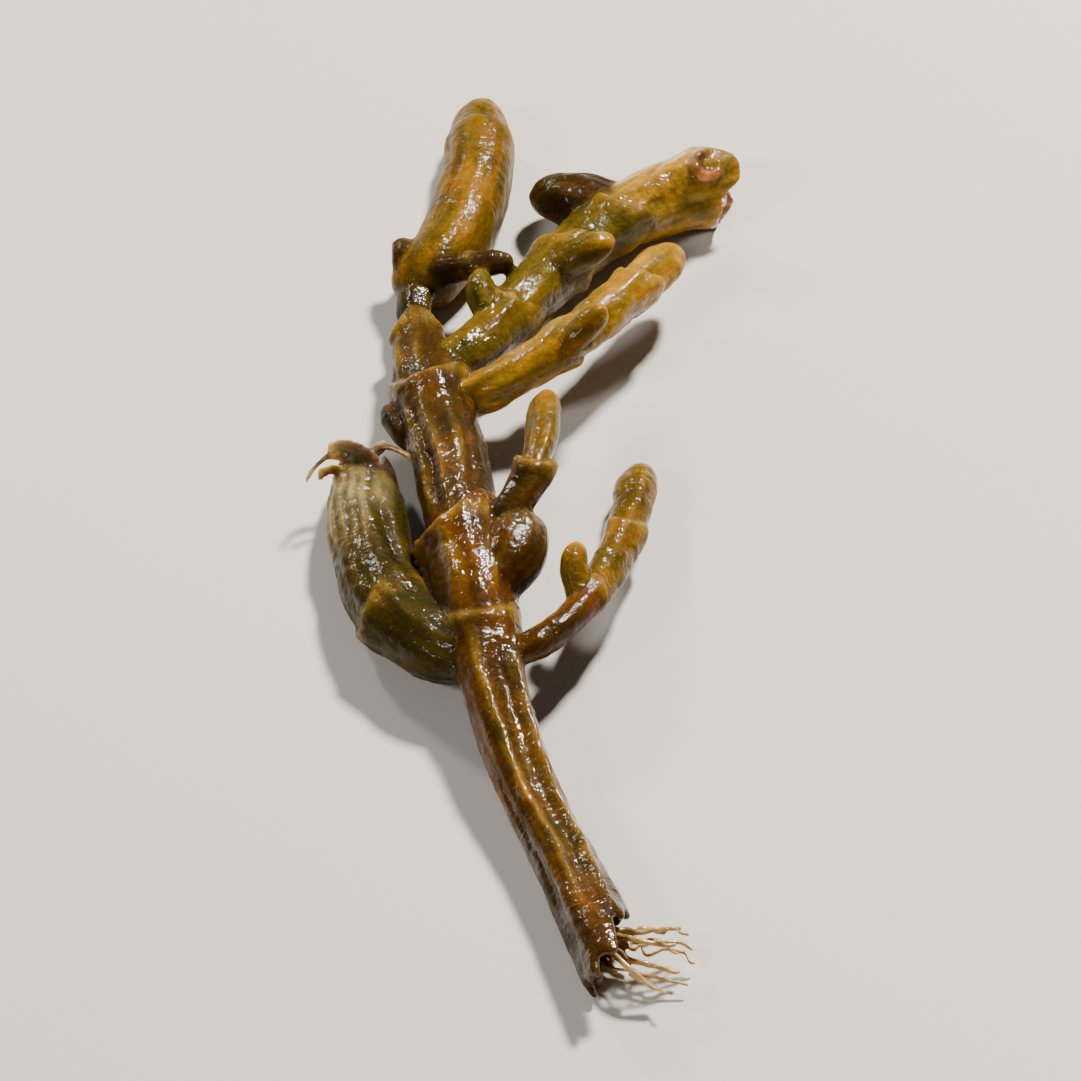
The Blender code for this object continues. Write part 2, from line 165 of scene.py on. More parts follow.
SHOOTS = [
    Shoot(
        "leader",
        [(0.1, -0.5, 1.8), (-1.9, 5.5, 1.8), (-4.0, 11.5, 1.95), (-5.7, 17.0, 2.6),
         (-6.7, 22.4, 3.3), (-7.6, 28.9, 3.6), (-8.5, 36.0, 3.2), (-9.7, 44.3, 2.6),
         (-10.8, 50.3, 2.0), (-10.6, 53.6, 1.95), (-8.9, 56.7, 2.05), (-7.6, 61.0, 1.95),
         (-7.1, 65.2, 1.9), (-7.0, 69.3, 1.8)],
        [0.35, 0.45, 0.635, 0.715, 0.79, 1.0],
        [(2.2, 2.15), (2.15, 2.6), (1.85, 2.2), (2.2, 1.45), (0.95, 1.25), (2.2, 2.05)],
        [5, 50, 20, 90, 0, 0],
        "round",
        [RUST, RUST, AMBER, AMBER, MOSS, GOLD],
        [0.35, 0.7, 0.45, 0.4, 0.9, 0.4],
        [1.1, 1.2, 0.9, 0.6, 0.6, 0.35],
    ),
    Shoot(
        "right_low",
        [(-6.6, 21.3, 3.5), (-3.6, 22.3, 3.9), (-1.05, 25.8, 3.7), (0.9, 31.2, 2.7),
         (2.2, 39.4, 1.2)],
        [0.38, 0.68, 1.0],
        [(0.85, 1.05), (1.0, 1.2), (1.05, 1.2)],
        [90, 0, 0],
        "round",
        [RUST, GOLD, GOLD],
        [0.5, 0.5, 0.4],
        [0.7, 0.7, 0.8],
    ),
    Shoot(
        "left_low",
        [(-7.0, 21.6, 3.1), (-9.9, 23.4, 2.8), (-12.25, 27.4, 2.3), (-13.1, 32.0, 2.1),
         (-13.5, 37.7, 1.95)],
        [0.36, 1.0],
        [(1.6, 2.3), (2.5, 1.95)],
        [70, 0],
        "split",
        [MOSS, MOSS],
        [0.8, 0.9],
        [0.7, 0.6],
    ),
    Shoot(
        "right_bud",
        [(-7.2, 25.9, 3.8), (-5.2, 28.6, 4.5), (-4.4, 31.9, 4.7)],
        [1.0],
        [(1.45, 1.85)],
        [0],
        "round",
        [AMBER],
        [0.6],
        [0.6],
    ),
    Shoot(
        "right_middle",
        [(-7.3, 29.6, 4.2), (-4.7, 32.6, 5.7), (-3.6, 36.4, 5.9), (-3.3, 41.3, 5.2)],
        [0.45, 1.0],
        [(0.95, 1.15), (0.85, 1.0)],
        [0, 0],
        "round",
        [AMBER, GOLD],
        [0.5, 0.4],
        [0.8, 0.8],
    ),
    Shoot(
        "left_far_bud",
        [(-9.0, 39.2, 2.9), (-11.2, 40.3, 2.7), (-12.3, 43.4, 2.4)],
        [1.0],
        [(0.8, 0.95)],
        [0],
        "round",
        [BROWN],
        [1.0],
        [0.4],
    ),
    Shoot(
        "right_near",
        [(-9.6, 43.2, 2.3), (-5.8, 44.0, 3.5), (-2.3, 46.1, 4.6), (1.05, 50.2, 4.4),
         (4.4, 55.5, 3.2)],
        [0.42, 0.74, 1.0],
        [(1.2, 1.5), (1.3, 1.45), (1.2, 1.25)],
        [90, 20, 0],
        "round",
        # gold with painted light on this shoot
        [GOLD_AND_PAINTED_LIGHT, GOLD_AND_PAINTED_LIGHT, GOLD_AND_PAINTED_LIGHT],
        [0.9, 0.8, 0.5],
        [1.2, 1.1, 0.8],
    ),
    Shoot(
        "right_far",
        [(-9.9, 45.4, 2.7), (-7.0, 47.9, 2.8), (-4.7, 51.6, 2.6), (-2.3, 55.5, 2.2),
         (0.3, 58.8, 2.1), (3.2, 61.0, 2.05), (5.9, 62.1, 2.05)],
        [0.30, 0.55, 0.74, 1.0],
        [(1.35, 1.65), (1.5, 1.85), (1.7, 1.95), (1.85, 2.2)],
        [0, 60, 20, 70],
        "open",
        [OLIVE, OLIVE, OLIVE, HONEY],
        [0.9, 0.9, 0.7, 0.6],
        [0.9, 0.8, 0.9, 1.5],
    ),
    Shoot(
        "far_bud_right",
        [(-2.9, 54.3, 2.8), (-1.2, 54.4, 3.9), (0.7, 55.0, 4.7)],
        [1.0],
        [(0.95, 1.25)],
        [0],
        "round",
        [OLIVE],
        [0.4],
        [0.6],
    ),
    Shoot(
        "far_bud_left",
        [(-5.7, 48.8, 2.8), (-6.9, 50.8, 3.6), (-7.0, 52.9, 4.0)],
        [1.0],
        [(0.75, 0.95)],
        [0],
        "round",
        [OLIVE],
        [0.5],
        [0.5],
    ),
    Shoot(
        "far_side",
        [(1.6, 59.6, 2.2), (-0.2, 60.4, 2.15), (-2.2, 61.1, 2.05), (-4.3, 61.4, 1.95)],
        [1.0],
        [(1.6, 2.0)],
        [0],
        "round",
        [BROWN],
        [0.8],
        [0.3],
    ),
    Shoot(
        "dark_right",
        [(-10.7, 54.0, 2.2), (-8.3, 53.7, 3.4), (-5.1, 53.7, 4.1)],
        [0.6, 1.0],
        [(0.80, 1.0), (0.85, 0.9)],
        [0, 0],
        "round",
        [BROWN, BROWN],
        [1.0, 1.0],
        [0.4, 0.4],
    ),
    Shoot(
        "dark_left",
        [(-10.9, 53.8, 2.0), (-11.4, 55.2, 2.6), (-11.6, 56.7, 3.1)],
        [1.0],
        [(0.75, 0.95)],
        [0],
        "round",
        [BROWN],
        [1.0],
        [0.4],
    ),
    Shoot(
        "far_ring",
        [(5.4, 61.8, 2.6), (5.75, 61.75, 3.5), (6.1, 61.6, 4.4)],
        [1.0],
        [(0.95, 1.0)],
        [110],
        "ring",
        [HONEY],
        [0.5],
        [0.8],
    ),
    Shoot(
        "near_bud",
        [(-2.4, 45.2, 4.9), (-1.1, 45.8, 6.1), (0.1, 47.0, 6.8)],
        [1.0],
        [(0.7, 0.85)],
        [0],
        "round",
        [GOLD],
        [0.3],
        [0.7],
    ),
    Shoot(
        "low_bud",
        [(-1.2, 25.3, 3.6), (-1.7, 27.4, 4.8), (-1.4, 29.1, 5.2)],
        [1.0],
        [(0.65, 0.8)],
        [0],
        "round",
        [GOLD],
        [0.3],
        [0.6],
    ),
]

# Long lines down a joint's skin, by shoot and joint: where each starts after the joint's start and
# ends past its end, the angles in degrees that it runs between, its half width as an angle, how far
# it stands out and how pale it is. A ridge's paleness is partly a paler skin and partly a painted
# highlight along it. A negative rise is a groove.
Line = namedtuple("Line", "start end angles width rise pale", defaults=[0.4])

RIB_ANGLES = (98, 116, 134, 152, 170)

LINES = {
    ("leader", 0): [
        Line(1.5, -0.5, (86, 74), 0.34, -0.50),
        Line(1.5, -0.5, (62, 40), 0.13, 0.30),
        Line(1.5, -0.5, (104, 114), 0.12, 0.26),
        Line(3.0, -6.0, (88, 80), 0.09, 0.12),
        Line(-2.0, -8.0, (150, 160), 0.20, -0.38),
    ],
    ("leader", 1): [
        Line(0.5, 0.5, (112, 128), 0.13, 0.16),
        Line(1.0, 0.0, (70, 58), 0.12, 0.14),
    ],
    ("leader", 2): [
        Line(0.3, 0.0, (146, 148), 0.12, 0.24, 0.3),
        Line(0.3, -1.0, (107, 122), 0.11, 0.20, 0.25),
        Line(2.0, -2.0, (127, 134), 0.16, -0.16),
        Line(1.0, -2.0, (66, 58), 0.20, -0.14),
        Line(3.0, -3.0, (82, 76), 0.10, 0.10),
    ],
    ("leader", 3): [
        Line(0.2, 0.2, (152, 146), 0.14, 0.20),
        Line(0.2, -1.0, (118, 104), 0.12, 0.14),
    ],
    ("left_low", 1): [
        Line(4.5, 1.0, (rib, rib + 5), 0.095, 0.27, 0.75) for rib in RIB_ANGLES
    ] + [
        Line(0.5, -3.0, (60, 72), 0.22, -0.30),
        Line(7.0, -0.3, (70, 66), 0.30, 0.08),
    ],
}

# Shreds of skin, three where the stem was torn off and five at the left side shoot's split tip:
# route, half width, half thickness, twist from end to end as an angle, and colour.
SHREDS = [
    ([(-1.3, 1.0, 0.9), (-0.8, -0.5, 0.9), (-0.2, -1.7, 0.5)], 0.34, 0.16, 0.4, OLIVE),
    ([(-0.8, 1.4, 0.7), (-0.1, 0.1, 0.7), (0.8, -1.0, 0.4)], 0.30, 0.15, -0.5, BROWN),
    ([(-0.2, 1.8, 0.8), (0.6, 0.6, 0.9), (1.5, -0.3, 0.6)], 0.28, 0.15, 0.6, BROWN),
    ([(-13.0, 36.6, 3.0), (-13.9, 38.0, 3.6), (-14.9, 38.4, 3.6), (-15.7, 37.9, 3.4)],
     0.75, 0.15, 0.9, MAUVE),
    ([(-14.9, 38.5, 3.6), (-15.9, 38.0, 3.3), (-16.6, 37.1, 3.2), (-17.0, 36.1, 3.1)],
     0.30, 0.14, -1.6, MAUVE),
    ([(-14.0, 36.2, 2.6), (-15.0, 37.1, 3.2), (-15.9, 36.9, 3.3), (-16.3, 36.3, 3.1)],
     0.42, 0.13, 1.3, OLIVE),
    ([(-13.9, 37.6, 3.2), (-12.8, 38.6, 3.6), (-11.5, 38.3, 3.5), (-10.6, 37.2, 3.4)],
     0.36, 0.14, 1.1, MAUVE),
    ([(-13.2, 36.9, 2.4), (-13.2, 38.7, 2.6), (-12.4, 39.8, 3.0)], 0.42, 0.14, -1.2, MAUVE),
]
SHRED_SEED = 101
SHRED_ROWS, SHRED_COLUMNS = 40, 18
SHRED_WAVER, SHRED_WAVER_STEPS = 0.35, 0.9
ROOT_RATE, FREE_END_RATE = 8, 5  # an end opens over one part in so many of the length
EDGE_PALE, FREE_END_PALE = 0.3, 0.95
SHRED_OIL = 0.5

# The core: a short plug inside the torn end, and fibres out of it with a thinner strand by each.
CORE_ROUTE = [(-1.2, 3.4, 1.85), (-0.8, 2.2, 1.85), (-0.4, 1.2, 1.85)]
CORE_RADII = (0.7, 0.5)
FIBRE_ROUTES = [
    [(-0.75, 2.0, 1.95), (0.55, 0.95, 2.1), (2.4, 0.9, 2.3), (4.5, 1.4, 1.8)],
    [(-0.7, 1.9, 1.85), (0.7, 0.45, 1.9), (2.7, 0.1, 1.8), (5.0, 0.3, 1.2)],
    [(-0.65, 1.8, 1.75), (0.5, 0.0, 1.65), (2.2, -1.0, 1.5), (4.3, -1.4, 0.9)],
    [(-0.65, 1.8, 1.9), (0.2, -0.4, 2.0), (1.3, -1.9, 2.0), (2.9, -2.9, 1.4)],
    [(-0.65, 1.8, 2.0), (0.5, 0.3, 2.2), (2.0, -0.5, 2.7), (3.9, -0.6, 2.3)],
]
FIBRE_RADII, STRAND_RADII = (0.28, 0.12), (0.18, 0.09)
STRAND_STEP = np.array([0.10, -0.15, -0.06])  # how far a strand's points part from its fibre's
FIBRE_WAVER, STRAND_WAVER, WAVER_STEPS = 0.25, 0.4, 1.2
FIBRE_LUMPS = 0.2
FIBRE_ROWS, FIBRE_COLUMNS = 70, 14
FIBRE_END_RATE = 30  # as for the shreds
CORE_SEED, FIBRE_SEED, STRAND_SEED, WAVER_SEED = 3, 11, 31, 7
FIBRE_ROOT = (0.20, 0.095, 0.012)
FIBRE_TIP = (0.50, 0.33, 0.10)


class Track:
    """The smooth line through a route: a Catmull-Rom curve with a straight run past both ends.

    Places on it are distances along the line, 0 at the route's first point. side points to the
    right of the line and up away from the table.
    """

    STEPS = 24
    OVERRUN = 8.0

    def __init__(self, route):
        points = np.array(route, float) - ORIGIN
        points = np.vstack([2 * points[0] - points[1], points, 2 * points[-1] - points[-2]])
        before, here, there, after = points[:-3], points[1:-2], points[2:-1], points[3:]
        share = np.linspace(0, 1, self.STEPS, endpoint=False)[None, :, None]
        bend = 2 * share**3 - 3 * share**2
        line = (
            (bend + 1) * here[:, None]
            + (share**3 - 2 * share**2 + share) * (there - before)[:, None] / 2
            - bend * there[:, None]
            + (share**3 - share**2) * (after - here)[:, None] / 2
        ).reshape(-1, 3)
        line = np.vstack([line, points[-2]])
        ahead, behind = line[-1] - line[-2], line[0] - line[1]
        line = np.vstack([
            line[0] + behind / np.linalg.norm(behind) * self.OVERRUN,
            line,
            line[-1] + ahead / np.linalg.norm(ahead) * self.OVERRUN,
        ])
        steps = np.linalg.norm(np.diff(line, axis=0), axis=1)
        self.distance = np.concatenate([[0.0], np.cumsum(steps)]) - self.OVERRUN
        self.length = self.distance[-1] - self.OVERRUN
        self.line = line
        ahead = np.gradient(line, self.distance, axis=0)
        ahead /= np.linalg.norm(ahead, axis=1)[:, None]
        side = np.cross(ahead, [0.0, 0.0, 1.0])
        self.side = side / np.linalg.norm(side, axis=1)[:, None]
        self.up = np.cross(self.side, ahead)

    def at(self, distance, values):
        """values, given along the line, read at an array of distances."""
        return np.stack([np.interp(distance, self.distance, v) for v in values.T], axis=-1)

    def skin(self, distance, angle, radius):
        """Points at a distance along, an angle round and a radius from the line."""
        across = np.cos(angle)[..., None] * self.at(distance, self.side)
        upward = FLATNESS * np.sin(angle)[..., None] * self.at(distance, self.up)
        return self.at(distance, self.line) + radius[..., None] * (across + upward)


def drift(points, seed):
    """Smooth noise from -1 to 1.

    Random values sit on a unit lattice and are blended with 6t^5 - 15t^4 + 10t^3 on each axis.
    The value at a corner is its whole coordinates and the seed, multiplied by large odd numbers
    and scrambled in 32 bits.
    """
    cell = np.floor(points).astype(np.int64)
    t = points - cell
    t = t * t * t * (t * (t * 6 - 15) + 10)
    total = np.zeros(points.shape[:-1])
    for corner in np.ndindex(2, 2, 2):
        x, y, z = np.moveaxis(cell + corner, -1, 0)
        mixed = x * 374761393 + y * 668265263 + z * 1274126177 + seed * 2246822519
        mixed = mixed & 0xFFFFFFFF
        mixed = ((mixed ^ (mixed >> 13)) * 1103515245) & 0xFFFFFFFF
        mixed = ((mixed ^ (mixed >> 16)) * 2654435761) & 0xFFFFFFFF
        value = ((mixed ^ (mixed >> 15)) & 0xFFFF) / 32767.5 - 1
        weight = np.prod(np.where(corner, t, 1 - t), axis=-1)
        total += weight * value
    return total


def skin_noise(straight, noise, seed):
    """drift on straightened coordinates, with a noise's own steps across and along the shoot."""
    return drift(straight * [noise.across, noise.across, noise.along], seed)


def rounded(rows, times=3):
    """A profile with its corners cut: each pass keeps the ends and the quarter points between."""
    for _ in range(times):
        low, high = rows[:-1], rows[1:]
        cut = np.stack([0.75 * low + 0.25 * high, 0.25 * low + 0.75 * high], axis=1)
        rows = np.vstack([rows[:1], cut.reshape(-1, rows.shape[1]), rows[-1:]])
    return rows


def evenly(rows, spacing, fewest=8):
    """A profile's rows at even steps along it, measured in distance and radius."""
    steps = np.linalg.norm(np.diff(rows[:, :2], axis=0), axis=1)
    along = np.concatenate([[0.0], np.cumsum(steps)])
    wanted = np.linspace(0, along[-1], max(fewest, int(along[-1] / spacing)))
    return np.stack([np.interp(wanted, along, column) for column in rows.T], axis=1)


def torn_end(start, base):
    """Rows from the middle of the cavity's floor, up its wall and over the torn rim."""
    bore = base - COLLAR_WALL
    return [
        (start + CAVITY, 0.0, 0, 0, 0),
        (start + CAVITY, CAVITY_CORNER * bore, 0, 0, 0),
        (start + CAVITY_CORNER * CAVITY, bore, 0, 0.3, 0),
        (start + TEAR_EDGE, bore, 0, 1, 0),
        (start - TEAR_EDGE, 0.5 * (bore + base), 0, 1, 0.3),
        (start, base, 0, 1, 1),
    ]


def collar_end(end, top):
    """Rows up a collar's flare, over its lip and down to the middle of the cup's floor."""
    lip = COLLAR_FLARE * top
    bore = lip - COLLAR_WALL
    return [
        (end - FLARE_START * top, 1.03 * top, 0.0, 0, 1),
        (end - FLARE_FULL * top, lip, 0.6, 0, 1),
        (end, lip - LIP_EDGE, 1, 0, 0.6),
        (end + LIP_TOP, 0.5 * (lip + bore), 1, 0, 0.2),
        (end, bore + LIP_EDGE, 1, 0, 0),
        (end - CUP_NARROWS * top, 0.85 * bore, 0.3, 0, 0),
        (end - CUP_FLOOR * top, 0.0, 0, 0, 0),
    ]


def joint_profile(start, end, base, top, torn, tip):
    """A joint's profile as rows of distance, radius, collar share, tear share and skin share.

    Up the outer wall the radius runs evenly from base to top, with half a sine wave added. The
    skin share is 1 on that wall and 0 in the cup, the cavity and the buried foot.
    """
    length = end - start
    if torn:
        rows = torn_end(start, base)
        first = start + TORN_WALL_START * CAVITY
    else:
        rows = [(start + along * base, out * base, 0, 0, 0) for along, out in FOOT_PROFILE]
        first = start + FOOT_TOP * base
    bulge = -WAIST if torn else SWELL
    back = min(TIP_ROUNDING * top, TIP_LENGTH_SHARE * length)
    last = end - (back if tip == "round" else FLARE_START * top)
    for place in np.linspace(first, last, WALL_ROWS, endpoint=tip == "round"):
        share = min(max((place - start) / length, 0), 1)
        radius = base + (top - base) * share + bulge * top * math.sin(math.pi * share)
        faded = min(max(1 - (place - start) / (SLANT_REACH * CAVITY), 0), 1)
        rows.append((place, radius, 0, SLANT_SHARE * faded if torn else 0, 1))
    if tip == "round":
        rows += [(end - share * back, out * top, 0, 0, 1) for share, out in TIP_PROFILE]
    elif tip == "split":
        rows += [(end + along, out * top + inset, lift, 0, skin)
                 for along, out, inset, lift, skin in SPLIT_PROFILE]
    else:
        rows += collar_end(end, top)
    return evenly(rounded(np.array(rows, float)), GRID)


def wrapped(angle):
    """An angle brought to between minus and plus half a turn."""
    return (angle + math.pi) % (2 * math.pi) - math.pi


def crease(place, angle, run, centres, width, fade):
    """A long line down a joint, 1 on it and fading across by a bell of the angle's distance.

    run gives where it starts and ends. Its angle goes from one of centres to the other, in
    degrees, with a slow sway, and it fades out over fade at both ends.
    """
    share = np.clip((place - run[0]) / (run[1] - run[0]), 0, 1)
    centre = np.radians(centres[0] + (centres[1] - centres[0]) * share)
    for size, rate, phase in SWAY:
        centre = centre + size * np.sin(rate * place + phase)
    off = wrapped(angle - centre) / width
    ends = np.clip((place - run[0]) / fade, 0, 1) * np.clip((run[1] - place) / fade, 0, 1)
    return ends * np.exp(-(off**2))


def long_lines(key, place, angle, start, end):
    """The sum of a joint's ridges and grooves, and how pale its ridges are, 0 to 1: partly paler
    skin, partly painted highlight.
    """
    height, pale = np.zeros_like(place), np.zeros_like(place)
    for line in LINES.get(key, []):
        run = (start + line.start, end + line.end)
        fade = min(LINE_FADE, LINE_FADE_SHARE * (run[1] - run[0]))
        shape = crease(place, angle, run, line.angles, line.width, fade)
        height = height + line.rise * shape
        pale = np.maximum(pale, line.pale * shape if line.rise > 0 else 0)
    return height, pale


def relief(place, angle, radius, slack, seed):
    """How far the skin stands in or out: folds along the shoot, lumps, and wrinkles across it.

    All are smooth noise on straightened coordinates: across the shoot in x and y, along it in z,
    themselves moved about by a slower noise, so that no line runs quite straight. A fold lies
    where its noise is near zero, and the wrinkles keep to patches.
    """
    straight = np.stack([radius * np.cos(angle), radius * np.sin(angle), place], axis=-1)
    moved = [skin_noise(straight, WANDER, seed + WANDER_SEED + axis) for axis in range(3)]
    straight = straight + np.stack(moved, axis=-1) * WANDER.height
    lumps = skin_noise(straight, LUMPS, seed)
    folds = 1 - 2 * np.abs(skin_noise(straight, FOLDS, seed + 1))
    pleats = skin_noise(straight, PLEATS, seed + 2)
    wrinkles = skin_noise(straight, WRINKLES, seed + 3)
    patch = np.clip(0.5 + PATCHES.height * skin_noise(straight, PATCHES, seed + 4), 0, 1)
    return (
        LUMPS.height * (0.4 + 0.6 * slack) * lumps
        - FOLDS.height * (0.3 + slack) * np.clip(folds - 0.3, 0, 1)
        + PLEATS.height * (0.3 + slack) * pleats
        + WRINKLES.height * (0.35 + slack) * patch * wrinkles
    )


def joint_surface(shoot, track, number, seed):
    """One joint as a grid of points, with the values that colour each of them.

    A point lies at its profile's distance and radius from the shoot's line. The collar's lobes
    and the tear shift the distance with the angle, and waver, folds and relief add to the radius.
    """
    starts = [0.0] + list(shoot.ends)
    start, end = starts[number] * track.length, starts[number + 1] * track.length
    base, top = shoot.radii[number]
    torn = shoot.name == "leader" and number == 0
    tip = shoot.tip if number == len(shoot.ends) - 1 else "collar"
    phase = np.random.default_rng(seed).uniform(0, 2 * np.pi, 2)
    rows = joint_profile(start, end, base, top, torn, tip)
    place, out, collar, tear, skin = (column[:, None] for column in rows.T)
    columns = max(FEWEST_COLUMNS, int(2 * math.pi * COLUMN_SPARE * max(base, top) / GRID))
    angle = np.linspace(0, 2 * np.pi, columns, endpoint=False)[None, :] + 0 * place

    circle = [RAG_CIRCLE * np.cos(angle), RAG_CIRCLE * np.sin(angle), 0 * angle]
    ragged = drift(np.stack(circle, axis=-1), seed)
    notch = angle - math.radians(shoot.turns[number])
    lobe = (0.5 + 0.5 * np.cos(2 * notch)) ** LOBE_SHARPNESS
    lobe = lobe + (SPLIT_RAGS if tip == "split" else LIP_RAGS) * ragged
    notches = TEAR_NOTCH * np.sin(TEAR_NOTCHES * angle + phase[0])
    slant = TEAR_SLOPE * np.cos(angle + TEAR_TURN) + notches
    slant = slant + TEAR_RAGS * ragged
    rise = RING_RISE if tip == "ring" else LOBE_RISE
    place = place + collar * rise * top * lobe + tear * slant

    waver = 1 + OVAL * np.cos(2 * angle + phase[0]) + THREE_SIDED * np.cos(3 * angle + phase[1])
    change = relief(place, angle, np.maximum(out, 0.5), shoot.slack[number], seed)
    lines, pale = long_lines((shoot.name, number), place, angle, start, end)
    if torn:
        over_cavity = np.clip(1.5 - (place - start) / CAVITY, 0, 1)
        deepest = CAVITY_KEEPS * over_cavity - TORN_SINK
    else:
        deepest = -SINK_SHARE * out
    change = np.maximum(change + lines, deepest)
    radius = np.maximum(out * waver + skin * change, 0.0)
    points = track.skin(place, angle, radius)

    tint = joint_tint(shoot, number, angle, place - start, end - place, torn, tip, skin)
    # Ridges paled towards straw or cream: partly paler skin, partly a painted highlight.
    ridge = CREAM if shoot.name == "left_low" else STRAW
    flat = [radius * np.cos(angle), radius * np.sin(angle), place + PATTERN_APART * seed]
    return points, {
        "straight": np.stack(flat, axis=-1),
        "tint": blend(tint, ridge, pale * skin),
        "oil": np.full(points.shape, shoot.oil[number]),
    }


def blend(one, other, share):
    """A colour between two others, share 0 to 1 of the way to the second."""
    share = np.clip(share, 0, 1)[..., None]
    return (1 - share) * np.asarray(one) + share * np.asarray(other)


def near(distance, reach):
    """1 at no distance, falling evenly to 0 at reach."""
    return np.clip(1 - distance / reach, 0, 1)


def joint_tint(shoot, number, angle, from_start, to_end, torn, tip, skin):
    """The colour over a joint: its own, paler towards a blunt tip and along a collar's lip.

    The torn joint has a green side and a brown rim, a split tip is brown, the ring is pinkish, and
    the inside of an open collar's cup and of the ring is dark red: reddish flesh with painted shade
    of the hollow.
    """
    own = shoot.colours[number]
    tint = np.broadcast_to(own, angle.shape + (3,))
    if torn:
        green = np.exp(-(((angle - GREEN_SIDE) / GREEN_SPREAD) ** 2))
        along = np.clip((GREEN_END - from_start) / GREEN_FADE, 0, 1)
        tint = blend(tint, MOSS, GREEN_SHARE * green * along)
        tint = blend(tint, BROWN, TEAR_STAIN * near(from_start, TEAR_STAIN_REACH))
    if tip == "round":
        pale = near(to_end, TIP_PALE_REACH * shoot.radii[number][1]) ** TIP_PALE_CURVE
        tint = blend(tint, STRAW, (DARK_TIP_PALE if own is BROWN else TIP_PALE) * pale)
    else:
        lip = near(np.abs(to_end + LIP_PALE_CENTRE), LIP_PALE_REACH)
        tint = blend(tint, STRAW, LIP_PALE * lip)
    if tip == "ring":
        tint = blend(tint, PINK, RING_PINK - RING_PINK_FADE * to_end)
    # Painted shade: the inside of the cup darkened towards dark red.
    if tip in ("open", "ring"):
        within = np.clip(CUP_BLUSH_AND_SHADE - to_end / CUP_BLUSH_AND_SHADE_REACH, 0, 1)
        tint = blend(tint, BLUSH_AND_PAINTED_SHADE, (1 - skin) * within)
    if tip == "split":
        tint = blend(tint, BROWN, SPLIT_STAIN * near(to_end, SPLIT_STAIN_REACH))
    return tint


def strip_surface(route, width, thickness, twist, colour, seed):
    """A limp strip of skin along a route: a flat oval of a half width and a half thickness.

    The oval shrinks to nothing at both ends as the root of the distance from the end, its width
    wavers by smooth noise, and it turns about its line by twist from one end to the other. It
    goes from its colour to cream along its edges and towards its free end.
    """
    track = Track(route)
    along = np.linspace(0, 1, SHRED_ROWS)[:, None]
    angle = np.linspace(0, 2 * np.pi, SHRED_COLUMNS, endpoint=False)[None, :] + 0 * along
    place = along * track.length + 0 * angle
    ends = np.clip(np.minimum(ROOT_RATE * along, FREE_END_RATE * (1 - along)), 0, 1)
    ends = np.sqrt(ends * (2 - ends))
    waver = drift(np.stack([SHRED_WAVER_STEPS * place, 0 * place, 0 * place], axis=-1), seed)
    wide = width * ends * (1 + SHRED_WAVER * waver)
    thick = thickness * ends
    turn = twist * along
    across = wide * np.cos(angle) * np.cos(turn) - thick * np.sin(angle) * np.sin(turn)
    upward = wide * np.cos(angle) * np.sin(turn) + thick * np.sin(angle) * np.cos(turn)
    points = (
        track.at(place, track.line)
        + across[..., None] * track.at(place, track.side)
        + upward[..., None] * track.at(place, track.up)
    )
    flat = [wide * np.cos(angle), thick * np.sin(angle), place + PATTERN_APART * seed]
    pale = EDGE_PALE * np.abs(np.cos(angle)) ** 8 + FREE_END_PALE * along**4
    return points, {
        "straight": np.stack(flat, axis=-1),
        "tint": blend(colour, CREAM, pale),
        "oil": np.full(points.shape, SHRED_OIL),
    }


def fibre_surface(route, radii, seed, waver):
    """A tapering thread round its line, its middle wandering by a smooth noise of its length.

    Its radius goes evenly from one of radii to the other, is lumpy by smooth noise, and shrinks
    to nothing at both ends as the root of the distance from the end. The wandering grows to
    waver over the first half.
    """
    track = Track(route)
    along = np.linspace(0, 1, FIBRE_ROWS)[:, None]
    angle = np.linspace(0, 2 * np.pi, FIBRE_COLUMNS, endpoint=False)[None, :] + 0 * along
    radius = radii[0] + (radii[1] - radii[0]) * along
    ends = np.minimum(np.minimum(along, 1 - along) * FIBRE_END_RATE, 1)
    radius = radius * np.sqrt(ends * (2 - ends))
    place = along * track.length + 0 * angle
    lumps = drift(np.stack([2 * np.cos(angle), 2 * np.sin(angle), 0.5 * place], axis=-1), seed)
    points = track.skin(place, angle, radius * (1 + FIBRE_LUMPS * lumps))
    reach = np.clip(along * 2, 0, 1) * waver
    for axis in range(3):
        path = np.stack([WAVER_STEPS * place[:, :1], 0 * along + axis, 0 * along], axis=-1)
        points[:, :, axis] += reach * drift(path, seed + WAVER_SEED)
    return points, {"tint": blend(FIBRE_ROOT, FIBRE_TIP, along + 0 * angle)}


def grid_faces(rows, columns, first):
    """Quads over a grid of rows that closes round its columns, numbered from first."""
    row, column = np.meshgrid(np.arange(rows - 1), np.arange(columns), indexing="ij")
    beside = (column + 1) % columns
    low, high = row * columns, (row + 1) * columns
    faces = np.stack([low + column, low + beside, high + beside, high + column], axis=-1)
    return faces.reshape(-1, 4) + first


def closed_grids(name, surfaces):
    """One mesh, in metres, of closed grids whose first and last rows have shrunk to a point.

    Each grid comes with its points' values, and they become attributes of the mesh.
    """
    points, faces, values, first = [], [], {}, 0
    for grid, extra in surfaces:
        rows, columns = grid.shape[:2]
        grid = grid.copy()
        grid[0] = grid[0].mean(axis=0)
        grid[-1] = grid[-1].mean(axis=0)
        points.append(grid.reshape(-1, 3))
        faces.append(grid_faces(rows, columns, first))
        for key, value in extra.items():
            values.setdefault(key, []).append(value.reshape(-1, 3))
        first += rows * columns
    points, faces = np.vstack(points) * MM, np.vstack(faces)
    mesh = bpy.data.meshes.new(name)
    mesh.vertices.add(len(points))
    mesh.vertices.foreach_set("co", points.ravel())
    mesh.loops.add(faces.size)
    mesh.loops.foreach_set("vertex_index", faces.ravel())
    mesh.polygons.add(len(faces))
    mesh.polygons.foreach_set("loop_start", np.arange(0, faces.size, 4))
    for key, parts in values.items():
        layer = mesh.attributes.new(key, "FLOAT_VECTOR", "POINT")
        layer.data.foreach_set("vector", np.vstack(parts).ravel())
    mesh.update(calc_edges=True)
    piece = bpy.data.objects.new(name, mesh)
    bpy.context.scene.collection.objects.link(piece)
    return piece


